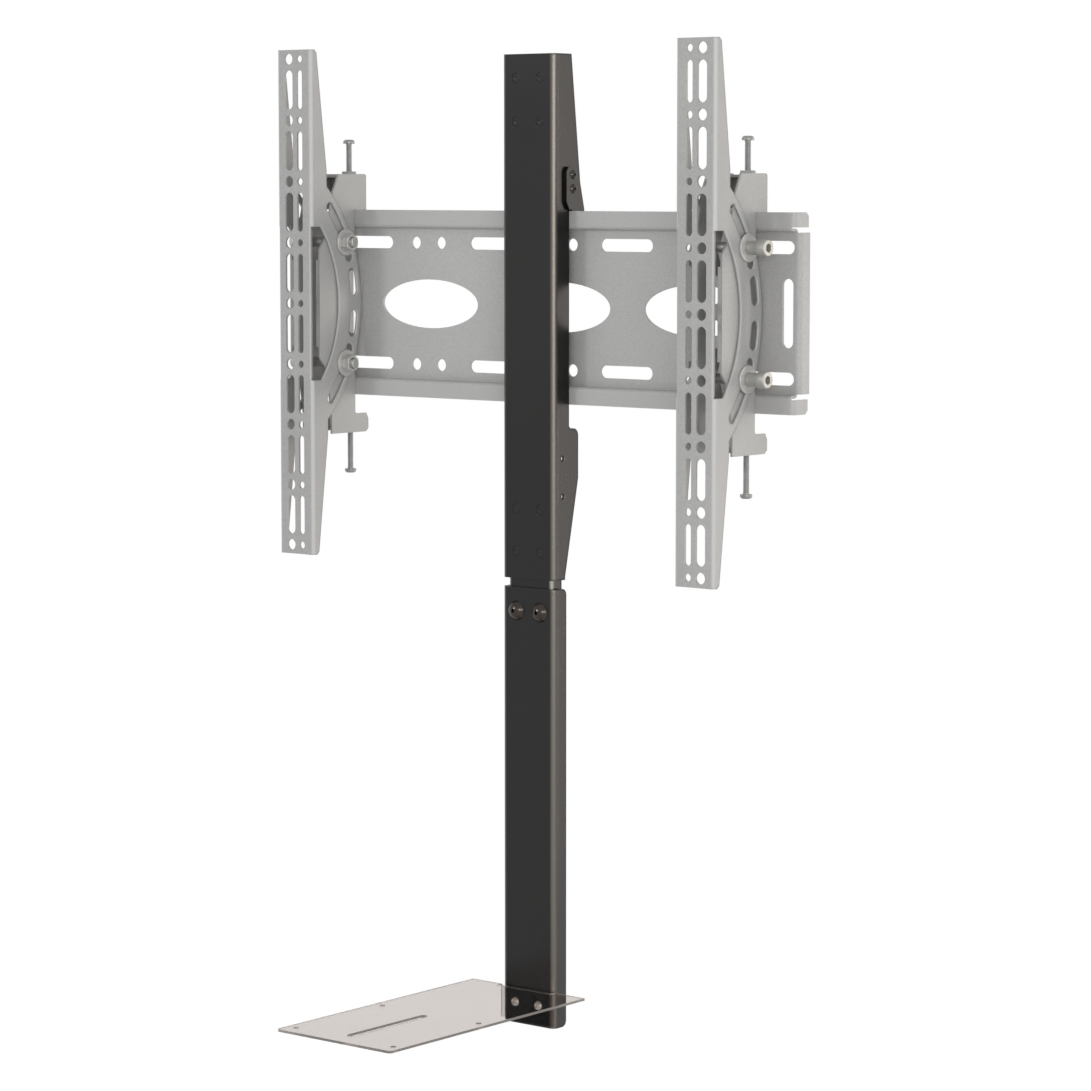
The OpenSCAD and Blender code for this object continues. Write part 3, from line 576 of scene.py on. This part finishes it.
def fastener_tree():
    """The node group, with named inputs for the thread's sizes."""
    group = bpy.data.node_groups.new("thread_and_place", "GeometryNodeTree")
    sockets = [("Places", "NodeSocketGeometry"), ("Fastener", "NodeSocketObject"),
               ("Finish", "NodeSocketMaterial"), ("Pitch", "NodeSocketFloat"),
               ("Depth", "NodeSocketFloat"), ("Shank radius", "NodeSocketFloat"),
               ("Thread start", "NodeSocketFloat"), ("Thread end", "NodeSocketFloat")]
    for name, kind in sockets:
        group.interface.new_socket(name, in_out="INPUT", socket_type=kind)
    group.interface.new_socket("Fasteners", in_out="OUTPUT", socket_type="NodeSocketGeometry")
    given = add(group, "NodeGroupInput").outputs

    def maths(operation, a, b=0.0, c=0.0):
        return add(group, "ShaderNodeMath", {0: a, 1: b, 2: c}, operation=operation).outputs[0]

    position = add(group, "GeometryNodeInputPosition").outputs[0]
    along = add(group, "ShaderNodeSeparateXYZ", {0: position}).outputs
    round_axis = maths("DIVIDE", maths("ARCTAN2", along["Y"], along["X"]), 2 * math.pi)
    climb = maths("DIVIDE", along["Z"], given["Pitch"])
    phase = maths("FRACT", maths("SUBTRACT", climb, round_axis))
    valley = maths("ABSOLUTE", maths("MULTIPLY_ADD", phase, 2.0, -1.0))
    above = maths("SUBTRACT", along["Z"], given["Thread start"])
    lead_in = maths("MULTIPLY", above, FADES_PER_METRE)
    below = maths("SUBTRACT", given["Thread end"], along["Z"])
    run_out = maths("MULTIPLY", below, FADES_PER_METRE)
    fade = maths("MAXIMUM", maths("MINIMUM", maths("MINIMUM", lead_in, run_out), 1.0), 0.0)
    flat = add(group, "ShaderNodeCombineXYZ", {0: along["X"], 1: along["Y"], 2: 0.0}).outputs[0]
    radius = add(group, "ShaderNodeVectorMath", {0: flat}, operation="LENGTH").outputs["Value"]
    on_shank = maths("COMPARE", radius, given["Shank radius"], SKIN_DEPTH)
    full = maths("MULTIPLY", valley, given["Depth"])
    depth = maths("MULTIPLY", full, maths("MULTIPLY", fade, on_shank))
    inwards = add(group, "ShaderNodeVectorMath", {0: flat}, operation="NORMALIZE").outputs[0]
    pull = add(group, "ShaderNodeVectorMath", {0: inwards, "Scale": maths("MULTIPLY", depth, -1.0)},
               operation="SCALE").outputs[0]
    shape = add(group, "GeometryNodeObjectInfo", {"Object": given["Fastener"]}).outputs["Geometry"]
    threaded = add(group, "GeometryNodeSetPosition", {"Geometry": shape, "Offset": pull}).outputs[0]
    way = add(group, "GeometryNodeInputNamedAttribute", {"Name": "turn"}, data_type="FLOAT_VECTOR")
    turn = add(group, "FunctionNodeEulerToRotation", {0: way.outputs["Attribute"]}).outputs[0]
    copies = add(group, "GeometryNodeInstanceOnPoints", {"Points": given["Places"],
                 "Instance": threaded, "Rotation": turn}).outputs[0]
    real = add(group, "GeometryNodeRealizeInstances", {"Geometry": copies}).outputs[0]
    coated = add(group, "GeometryNodeSetMaterial", {"Geometry": real, "Material": given["Finish"]})
    add(group, "NodeGroupOutput", {0: coated.outputs[0]})
    return group


THREAD_TREE = fastener_tree()
INPUT_IDS = {item.name: item.identifier for item in THREAD_TREE.interface.items_tree
             if item.in_out == "INPUT"}
NO_THREAD = {"Pitch": 1.0, "Depth": 0.0, "Shank radius": 1.0, "Thread start": 0.0,
             "Thread end": 0.0}
print("inputs:", ", ".join(INPUT_IDS))

# %% [markdown]
# A fastener that stands along z at the origin is turned to its own way by three angles. The next
# function builds the little mesh of places, runs the tree over it, keeps the result as one plain
# mesh, and hands that to the body that it rides on.

# %% Make one group of fasteners
QUARTER = math.pi / 2
UP, DOWN = (0.0, 0.0, 0.0), (math.pi, 0.0, 0.0)
RIGHT, LEFT = (0.0, QUARTER, 0.0), (0.0, -QUARTER, 0.0)
FRONT, BACK = (QUARTER, 0.0, 0.0), (-QUARTER, 0.0, 0.0)
METRIC_DEPTH = 0.61


def thread(diameter, pitch, length, neck, tip):
    """The tree's thread inputs in metres, from a shank with a plain neck and tip in millimetres."""
    return {"Pitch": pitch * MM, "Depth": METRIC_DEPTH * pitch * MM,
            "Shank radius": diameter / 2 * MM,
            "Thread start": (-length + tip) * MM, "Thread end": -neck * MM}


def place_fasteners(name, shape, places, finish, body, node, cut=None):
    """Copies shape to each (point, turn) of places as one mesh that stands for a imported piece."""
    mesh = bpy.data.meshes.new(name)
    mesh.from_pydata([point for point, _ in places], [], [])
    turns = mesh.attributes.new("turn", "FLOAT_VECTOR", "POINT")
    turns.data.foreach_set("vector", [angle for _, turn in places for angle in turn])
    carrier = bpy.data.objects.new(name + "_places", mesh)
    bpy.context.scene.collection.objects.link(carrier)
    modifier = carrier.modifiers.new("thread_and_place", "NODES")
    modifier.node_group = THREAD_TREE
    values = {"Fastener": shape, "Finish": finish, **NO_THREAD, **(cut or {})}
    for key, value in values.items():
        modifier[INPUT_IDS[key]] = value
    bpy.context.view_layer.update()
    graph = bpy.context.evaluated_depsgraph_get()
    made = bpy.data.objects.new(name, bpy.data.meshes.new_from_object(carrier.evaluated_get(graph)))
    bpy.data.objects.remove(carrier)
    bpy.context.scene.collection.objects.link(made)
    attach(made, body)
    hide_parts(node)
    print(f"{name}: {len(places)} x {shape.name}, {len(made.data.polygons)} faces")
    return made


def middle(low, high):
    """The middle of a box."""
    return (low + high) / 2


# %% [markdown]
# ## The screws that lock the brackets
# Each bracket has one long screw above and one below: an M5 machine screw with a domed pan head
# and a small hexagonal socket, threaded all the way. A metric M5 thread climbs 0.8 mm a turn.

# %% Shapes for screws
SOCKET_TAPER, SOCKET_CONE = 0.98, 0.12
TIP_MOST, TIP_SHARE = 0.7, 0.14


def hex_socket(width, floor, mouth, cone):
    """Rings of a hexagonal socket, from the tip of the drill's cone up to its mouth."""
    return [circle(0, floor - cone), hexagon(width * SOCKET_TAPER, floor), hexagon(width, mouth)]


def dome_head(diameter, height, socket, socket_depth):
    """Rings from the middle of the socket over a domed head to its underside, which is height 0."""
    rim, edge, foot, sweep = 0.3, 0.15, 0.08, 78
    crown = diameter / 2 - height * (1 - rim)
    return [*hex_socket(socket, height - socket_depth, height - edge, socket * SOCKET_CONE),
            hexagon(socket + 2 * edge, height),
            *arc_rings(crown, height * rim, height * (1 - rim), sweep, 0, 7),
            circle(diameter / 2, height * foot),
            circle(diameter / 2 - edge, 0)]


def shank(diameter, length, ring_gap):
    """Rings down a shank from the head's underside to a chamfered tip."""
    tip = min(TIP_MOST, diameter * TIP_SHARE)
    count = max(2, round((length - tip) / ring_gap))
    rows = [circle(diameter / 2, -(length - tip) * i / count) for i in range(count + 1)]
    return rows + [circle(diameter / 2 - tip, -length), circle(0, -length)]


def screw(name, diameter, length, pitch, head):
    """A screw along z with its head's underside at the origin, and four rings to each pitch."""
    return turned(name, head + shank(diameter, length, pitch / 4), segments=SCREW_SEGMENTS)


LOCK_D, LOCK_PITCH = 5.0, 0.8
LOCK_HEAD_D, LOCK_HEAD_H = 9.6, 3.4
LOCK_SOCKET, LOCK_SOCKET_DEPTH = 3.0, 1.6
low, high = solids("lock_screw_left_upper")[0]
lock_length = (high - low).z / MM - LOCK_HEAD_H
lock_shape = screw("lock_screw", LOCK_D, lock_length, LOCK_PITCH,
                   dome_head(LOCK_HEAD_D, LOCK_HEAD_H, LOCK_SOCKET, LOCK_SOCKET_DEPTH))
lock_cut = thread(LOCK_D, LOCK_PITCH, lock_length, neck=0.6, tip=0.5)

for side in ("left", "right"):
    for level, way in (("upper", UP), ("lower", DOWN)):
        node = f"lock_screw_{side}_{level}"
        low, high = solids(node)[0]
        seat = high.z - LOCK_HEAD_H * MM if way == UP else low.z + LOCK_HEAD_H * MM
        point = Vector((middle(low, high).x, middle(low, high).y, seat))
        place_fasteners(f"threaded_{node}", lock_shape, [(point, way)], dull_zinc, node, node,
                        lock_cut)

# %% [markdown]
# ## Tilt bolts
# The tilt bolts are M8 cap screws: a round head with a rounded rim and a deep 6 mm socket, over a
# plain collar. They stand outwards, to the left of the left arm and to the right of the right one.

# %% Tilt bolts
BOLT_D, BOLT_PITCH = 8.0, 1.25
BOLT_HEAD_D, BOLT_HEAD_L = 13.0, 8.5
BOLT_SOCKET, BOLT_SOCKET_DEPTH, BOLT_SOCKET_CONE, BOLT_SOCKET_LIP = 6.0, 5.0, 0.8, 0.3
BOLT_RIM, BOLT_EDGE = 1.0, 0.4
BOLT_THREAD_L = 22.0

low, high = solids("tilt_bolt_right_upper")[0]
bolt_length = (high - low).x / MM - BOLT_HEAD_L
cap_head = [*hex_socket(BOLT_SOCKET, BOLT_HEAD_L - BOLT_SOCKET_DEPTH,
                        BOLT_HEAD_L - BOLT_SOCKET_LIP, BOLT_SOCKET_CONE),
            hexagon(BOLT_SOCKET + 2 * BOLT_SOCKET_LIP, BOLT_HEAD_L),
            *arc_rings(BOLT_HEAD_D / 2 - BOLT_RIM, BOLT_HEAD_L - BOLT_RIM, BOLT_RIM, 90, 0, 5),
            circle(BOLT_HEAD_D / 2, BOLT_EDGE),
            circle(BOLT_HEAD_D / 2 - BOLT_EDGE, 0)]
bolt_shape = screw("tilt_bolt", BOLT_D, bolt_length, BOLT_PITCH, cap_head)
bolt_cut = thread(BOLT_D, BOLT_PITCH, bolt_length, neck=bolt_length - BOLT_THREAD_L, tip=0.8)

for side, way in (("left", LEFT), ("right", RIGHT)):
    for level in ("upper", "lower"):
        node = f"tilt_bolt_{side}_{level}"
        low, high = solids(node)[0]
        seat = high.x - BOLT_HEAD_L * MM if way == RIGHT else low.x + BOLT_HEAD_L * MM
        point = Vector((seat, middle(low, high).y, middle(low, high).z))
        place_fasteners(f"threaded_{node}", bolt_shape, [(point, way)], bright_zinc, node, node,
                        bolt_cut)

# %% [markdown]
# ## Washers, collars and nuts
# Washers are stamped, which rolls one rim over a little. Collars are short turned tubes. Nuts are
# hexagons whose corners a cone has cut, above and below, and whose bore opens in a small
# countersink where the thread begins.

# %% Shapes for washers, collars and nuts
def washer(name, outer, bore, thick):
    """A stamped washer from height 0 to thick, with a rolled upper rim."""
    edge, broken, punched = 0.15, 0.2, 0.1
    roll = min(0.6, thick * 0.4)
    return turned(name, [circle(bore / 2, punched), circle(bore / 2 + edge, 0),
                         circle(outer / 2 - broken, 0), circle(outer / 2, edge),
                         *arc_rings(outer / 2 - roll, thick - roll, roll, 0, 90, 4),
                         circle(bore / 2 + broken, thick), circle(bore / 2, thick - edge)],
                  loop=True)


def collar(name, outer, bore, length):
    """A short turned tube with broken edges."""
    edge = 0.4
    return turned(name, [circle(bore / 2, edge), circle(bore / 2 + edge, 0),
                         circle(outer / 2 - edge, 0), circle(outer / 2, edge),
                         circle(outer / 2, length - edge), circle(outer / 2 - edge, length),
                         circle(bore / 2 + edge, length), circle(bore / 2, length - edge)],
                  loop=True)


def nut(name, flats, bore, thick):
    """A hexagonal nut with cut corners and countersunk ends."""
    sink = bore * 0.08
    round_top = flats / 2 * CHAMFER_START
    return turned(name, [circle(bore / 2, sink), circle(bore / 2 + sink, 0),
                         circle(round_top, 0), cut_hexagon(flats, 0, -1),
                         cut_hexagon(flats, thick, 1), circle(round_top, thick),
                         circle(bore / 2 + sink, thick), circle(bore / 2, thick - sink)],
                  loop=True)


print("shapes ready")

# %% Tilt hardware
def sized(name, axis):
    """Thickness along axis and width across it of a piece's first solid, in millimetres."""
    low, high = solids(name)[0]
    size = (high - low) / MM
    return round(size[axis], 3), round(min(size[(axis + 1) % 3], size[(axis + 2) % 3]), 3)


washer_t, washer_d = sized("tilt_washers_left", 0)
collar_l, collar_d = sized("tilt_collars_left", 0)
nut_t, nut_af = sized("tilt_nuts_left", 0)
BORE_PLAY = 0.1
BOLT_HOLE = BOLT_D + BORE_PLAY
washer_shape = washer("tilt_washer", washer_d, BOLT_HOLE, washer_t)
collar_shape = collar("tilt_collar", collar_d, BOLT_HOLE, collar_l)
nut_shape = nut("tilt_nut", nut_af, BOLT_HOLE, nut_t)

for side in ("left", "right"):
    arm_x = middle(*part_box(f"screen_arm_{side}")).x
    for kind, shape, finish in (("washers", washer_shape, grey_zinc),
                                ("collars", collar_shape, bright_zinc),
                                ("nuts", nut_shape, grey_zinc)):
        node = f"tilt_{kind}_{side}"
        places = []
        for low, high in solids(node):
            centre = middle(low, high)
            outward = RIGHT if centre.x > arm_x else LEFT
            foot = low.x if outward == RIGHT else high.x
            places.append((Vector((foot, centre.y, centre.z)), outward))
        place_fasteners(f"turned_{node}", shape, places, finish, f"bracket_{side}", node)

# %% [markdown]
# ## Weld nuts
# The lock screws run in round nuts that are projection welded on the brackets' tabs: a turned disc
# that sits on a ring of weld. They are welded before the bracket is painted, so they wear its coat.
# The weld's small fillet is what tells the eye that the nut is part of the bracket.

# %% Weld nuts
def weld_nut(name, outer, bore, height):
    """A round nut along z with a weld fillet round its foot, sizes in millimetres."""
    fillet, edge = 0.5, 0.4
    return turned(name, [circle(bore / 2, edge), circle(bore / 2 + edge, 0),
                         *arc_rings(outer / 2, fillet, -fillet, 90, 0, 3),
                         circle(outer / 2 - fillet, height - edge),
                         circle(outer / 2 - fillet - edge, height),
                         circle(bore / 2 + edge, height), circle(bore / 2, height - edge)],
                  loop=True)


weld_nut_h, weld_nut_d = sized("weld_nuts_left", 2)
weld_nut_shape = weld_nut("weld_nut", weld_nut_d, LOCK_D + BORE_PLAY, weld_nut_h)
for side in ("left", "right"):
    node = f"weld_nuts_{side}"
    places = [(Vector((middle(low, high).x, middle(low, high).y, low.z)), UP)
              for low, high in solids(node)]
    place_fasteners(f"welded_nuts_{side}", weld_nut_shape, places, bracket_paint,
                    f"bracket_{side}", node)

# %% [markdown]
# ## Fasteners of the post and the shelf
# The post's hooks are held by small blackened button screws. The joint has two large dark screws
# with wide domed heads, rounded like a slice of a ball, so that each mirrors a lamp as one bright
# spot. The shelf hangs on two small bright screws. Their nuts are inside the channels, and show
# only from behind.

# %% Post screws
# Each thread is its diameter, pitch, plain neck and plain tip; each head its width and height; and
# each socket its width and depth, all in millimetres.
HOOK_THREAD, HOOK_HEAD, HOOK_SOCKET = (4.0, 0.7, 2.0, 0.6), (7.6, 2.4), (2.0, 1.2)
JOINT_THREAD, JOINT_HEAD, JOINT_SOCKET = (8.0, 1.25, 1.0, 0.9), (16.0, 5.0), (2.8, 2.4)
SHELF_THREAD, SHELF_HEAD, SHELF_SOCKET = (4.0, 0.7, 0.6, 0.6), (8.0, 2.6), (2.5, 1.3)


def ball_head(diameter, height, socket, socket_depth):
    """Rings from the middle of the socket over a slice of a ball to the head's underside."""
    corner, lip, edge, steps = 0.58, 0.3, 0.2, 9
    ball = ((diameter / 2) ** 2 + height ** 2) / (2 * height)
    mouth = math.asin((socket * corner + lip) / ball)
    sweep = math.asin(diameter / 2 / ball) - mouth
    angles = [mouth + sweep * i / steps for i in range(steps + 1)]
    top = height - ball + ball * math.cos(mouth)
    return [*hex_socket(socket, top - socket_depth, top - edge, socket * SOCKET_CONE),
            *(circle(ball * math.sin(a), height - ball + ball * math.cos(a)) for a in angles)]


def screw_places(node, axis, heads):
    """The seat of each screw's head: heads gives, for a box, the end it faces and its height."""
    places = []
    for low, high in solids(node):
        end, height, way = heads(low, high)
        point = middle(low, high)
        point[axis] = end - math.copysign(height * MM, end - middle(low, high)[axis])
        places.append((point, way))
    return places


def ball_screws(node, kind, axis, heads, threads, head, socket, finish):
    """Threaded screws with ball heads in place of a packed group that rides on the post."""
    diameter, pitch, neck, tip = threads
    low, high = solids(node)[0]
    length = (high - low)[axis] / MM - head[1]
    shape = screw(kind, diameter, length, pitch, ball_head(*head, *socket))
    place_fasteners(f"threaded_{kind}s", shape, screw_places(node, axis, heads), finish, "post",
                    node, thread(diameter, pitch, length, neck, tip))


post_x = middle(*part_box("post_upper_channel")).x


def hook_heads(low, high):
    """Hook screws face outwards from the post's middle."""
    right = middle(low, high).x > post_x
    return (high.x if right else low.x), HOOK_HEAD[1], (RIGHT if right else LEFT)


def front_heads(height):
    """Heads of this height that face the front."""
    return lambda low, high: (low.y, height, FRONT)


ball_screws("post_hook_screws", "hook_screw", 0, hook_heads, HOOK_THREAD, HOOK_HEAD, HOOK_SOCKET,
            black_steel)
ball_screws("joint_screws", "joint_screw", 1, front_heads(JOINT_HEAD[1]), JOINT_THREAD, JOINT_HEAD,
            JOINT_SOCKET, dark_chrome)
ball_screws("shelf_screws", "shelf_screw", 1, front_heads(SHELF_HEAD[1]), SHELF_THREAD, SHELF_HEAD,
            SHELF_SOCKET, nickel)

# %% Nuts and studs inside the post
STUD_D, STUD_PITCH = 5.0, 0.8
STUD_HEAD_D, STUD_RIM, STUD_EDGE, STUD_FOOT = 8.0, 0.35, 0.2, 0.1
STUD_DIMPLE, STUD_DIMPLE_FLOOR, STUD_DIMPLE_RIM = 0.25, 1.1, 1.5
POST_SHEET = 2.5
RINGS_IN_SHEET = 12


def nut_group(node, axis, screw_d, ways):
    """Chamfered nuts in place of a packed group; ways gives the turn of each from its box."""
    thick, flats = sized(node, axis)
    shape = nut(node + "_shape", flats, screw_d + BORE_PLAY, thick)
    places = []
    for low, high in solids(node):
        way = ways(low, high)
        point = middle(low, high)
        point[axis] = high[axis] if way in (LEFT, FRONT, DOWN) else low[axis]
        places.append((point, way))
    place_fasteners(f"chamfered_{node}", shape, places, grey_zinc, "post", node)


for node, screw_d in (("joiner_nuts", STUD_D), ("joint_nuts", JOINT_THREAD[0]),
                      ("shelf_nuts", SHELF_THREAD[0])):
    nut_group(node, 1, screw_d, lambda low, high: BACK)
nut_group("post_hook_nuts", 0, HOOK_THREAD[0],
          lambda low, high: RIGHT if middle(low, high).x > post_x else LEFT)

low, high = solids("post_studs")[0]
stud_length = (high - low).y / MM
stud_rings = [circle(0, -STUD_DIMPLE), circle(STUD_DIMPLE_FLOOR, -STUD_DIMPLE),
              circle(STUD_DIMPLE_RIM, 0), circle(STUD_HEAD_D / 2 - STUD_RIM, 0),
              circle(STUD_HEAD_D / 2, -STUD_EDGE),
              circle(STUD_HEAD_D / 2, -POST_SHEET + STUD_FOOT), circle(STUD_D / 2, -POST_SHEET),
              *shank(STUD_D, stud_length, STUD_PITCH / 4)[RINGS_IN_SHEET:]]
stud_shape = turned("stud", stud_rings, segments=SCREW_SEGMENTS)
place_fasteners("pressed_studs", stud_shape, screw_places("post_studs", 1, front_heads(0.0)),
                fitting_paint, "post", "post_studs",
                thread(STUD_D, STUD_PITCH, stud_length, neck=3.0, tip=0.7))
